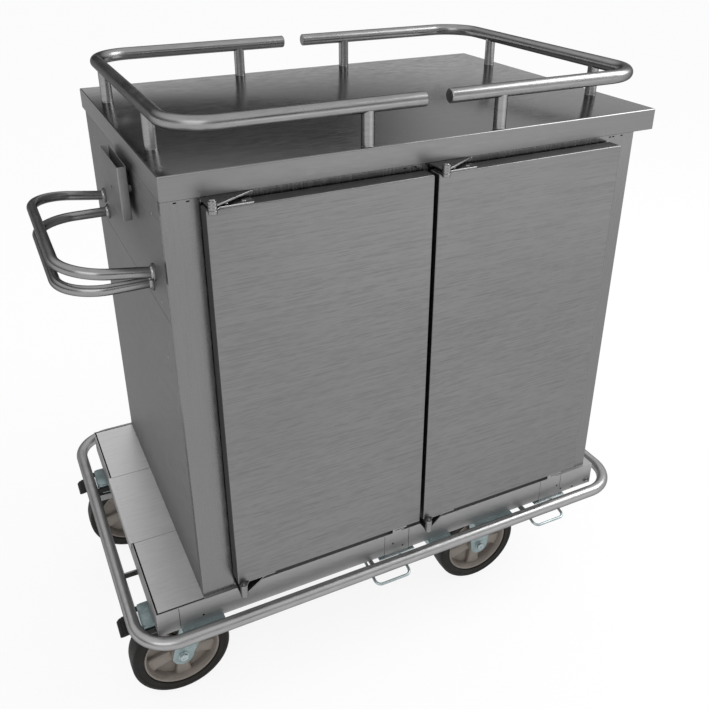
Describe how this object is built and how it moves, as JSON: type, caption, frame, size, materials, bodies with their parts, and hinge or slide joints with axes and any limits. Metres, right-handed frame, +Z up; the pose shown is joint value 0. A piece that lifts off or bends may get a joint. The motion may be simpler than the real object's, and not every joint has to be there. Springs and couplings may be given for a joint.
{
  "type": "enclosed meal tray cart",
  "caption": "Enclosed meal tray cart with hinged insulated doors over tray ledges, gallery rail, bumper rail, push handle, foot-operated door catches and braked swivel casters.",
  "frame": {"origin": "middle of the cart's bounding box, on the floor under the wheels", "axes": "+Z up, +X along the cart away from the push handle, doors face -Y"},
  "size_m": [1.15, 0.7512, 1.1845],
  "materials": {
    "brushed_sheet": "satin",
    "polished_tube": "satin",
    "inner_sheet": "satin",
    "zinc_plate": "satin",
    "rim_metal": "satin",
    "tyre_rubber": "matte",
    "pedal_plastic": "matte",
    "seal_rubber": "matte",
    "foam": "matte",
    "spring_wire": "satin"
  },
  "bodies": {
    "cabinet": {"countertop": "brushed_sheet", "left_upper_panel": "brushed_sheet", "left_lower_panel": "brushed_sheet", "right_side_panel": "brushed_sheet", "rear_panel": "brushed_sheet", "front_frame": "brushed_sheet", "wall_insulation": "foam", "left_compartment_liner": "inner_sheet", "right_compartment_liner": "inner_sheet", "tray_racks": "inner_sheet", "base_pan": "brushed_sheet", "front_step_cover": "brushed_sheet", "middle_step_cover": "brushed_sheet", "rear_step_cover": "brushed_sheet", "base_beams": "zinc_plate", "bumper_rail": "polished_tube", "bumper_brackets": "zinc_plate", "left_gallery_rail": "polished_tube", "right_gallery_rail": "polished_tube", "upper_push_handle": "polished_tube", "lower_push_handle": "polished_tube", "document_holder": "brushed_sheet", "hinge_arms": "brushed_sheet", "hinge_pins": "polished_tube", "latch_bearers": "zinc_plate", "latch_springs": "spring_wire", "swivel_plates": "zinc_plate", "fixed_forks": "zinc_plate", "fixed_axles": "zinc_plate", "panel_rivets": "brushed_sheet"},
    "left_door": {"left_door_panel": "brushed_sheet", "left_door_core": "foam", "left_door_inner_sheet": "inner_sheet", "left_door_gasket": "seal_rubber", "left_door_hinge_leaves": "brushed_sheet", "left_door_strike": "brushed_sheet"},
    "left_latch": {"left_latch_lever": "brushed_sheet", "left_pedal": "zinc_plate"},
    "right_door": {"right_door_panel": "brushed_sheet", "right_door_core": "foam", "right_door_inner_sheet": "inner_sheet", "right_door_gasket": "seal_rubber", "right_door_hinge_leaves": "brushed_sheet", "right_door_strike": "brushed_sheet"},
    "right_latch": {"right_latch_lever": "brushed_sheet", "right_pedal": "zinc_plate"},
    "front_caster": {"front_swivel_fork": "zinc_plate", "front_swivel_axle": "zinc_plate"},
    "front_brake": {"front_brake_pedal": "pedal_plastic"},
    "front_swivel_wheel": {"front_swivel_tyre": "tyre_rubber", "front_swivel_rim": "rim_metal"},
    "front_fixed_wheel": {"front_fixed_tyre": "tyre_rubber", "front_fixed_rim": "rim_metal"},
    "rear_caster": {"rear_swivel_fork": "zinc_plate", "rear_swivel_axle": "zinc_plate"},
    "rear_brake": {"rear_brake_pedal": "pedal_plastic"},
    "rear_swivel_wheel": {"rear_swivel_tyre": "tyre_rubber", "rear_swivel_rim": "rim_metal"},
    "rear_fixed_wheel": {"rear_fixed_tyre": "tyre_rubber", "rear_fixed_rim": "rim_metal"}
  },
  "joints": [
    {"name": "left_door_hinge", "type": "hinge", "parent": "cabinet", "child": "left_door", "pos_m": [-0.3515, -0.36215, 0.69025], "axis": [0, 0, -1], "range_deg": [0, 175]},
    {"name": "right_door_hinge", "type": "hinge", "parent": "cabinet", "child": "right_door", "pos_m": [0.0445, -0.36215, 0.69025], "axis": [0, 0, -1], "range_deg": [0, 175]},
    {"name": "left_latch_hinge", "type": "hinge", "parent": "cabinet", "child": "left_latch", "pos_m": [-0.0095, -0.28285, 0.252], "axis": [1, 0, 0], "range_deg": [0, 12], "stiffness_Nm_per_rad": 1.6, "springref_deg": -20.05},
    {"name": "right_latch_hinge", "type": "hinge", "parent": "cabinet", "child": "right_latch", "pos_m": [0.3865, -0.28285, 0.252], "axis": [1, 0, 0], "range_deg": [0, 12], "stiffness_Nm_per_rad": 1.6, "springref_deg": -20.05},
    {"name": "front_caster_swivel", "type": "hinge", "parent": "cabinet", "child": "front_caster", "pos_m": [-0.4165, -0.24085, 0.215], "axis": [0, 0, 1], "continuous": true},
    {"name": "front_swivel_wheel_spin", "type": "hinge", "parent": "front_caster", "child": "front_swivel_wheel", "pos_m": [-0.4615, -0.24085, 0.1], "axis": [0, 1, 0], "continuous": true},
    {"name": "front_brake_hinge", "type": "hinge", "parent": "front_caster", "child": "front_brake", "pos_m": [-0.5065, -0.24085, 0.199], "axis": [0, -1, 0], "range_deg": [0, 15]},
    {"name": "front_fixed_wheel_spin", "type": "hinge", "parent": "cabinet", "child": "front_fixed_wheel", "pos_m": [0.2455, -0.24085, 0.1], "axis": [0, 1, 0], "continuous": true},
    {"name": "rear_caster_swivel", "type": "hinge", "parent": "cabinet", "child": "rear_caster", "pos_m": [-0.4165, 0.22215, 0.215], "axis": [0, 0, 1], "continuous": true},
    {"name": "rear_swivel_wheel_spin", "type": "hinge", "parent": "rear_caster", "child": "rear_swivel_wheel", "pos_m": [-0.4615, 0.22215, 0.1], "axis": [0, 1, 0], "continuous": true},
    {"name": "rear_brake_hinge", "type": "hinge", "parent": "rear_caster", "child": "rear_brake", "pos_m": [-0.5065, 0.22215, 0.199], "axis": [0, -1, 0], "range_deg": [0, 15]},
    {"name": "rear_fixed_wheel_spin", "type": "hinge", "parent": "cabinet", "child": "rear_fixed_wheel", "pos_m": [0.2455, 0.22215, 0.1], "axis": [0, 1, 0], "continuous": true}
  ]
}
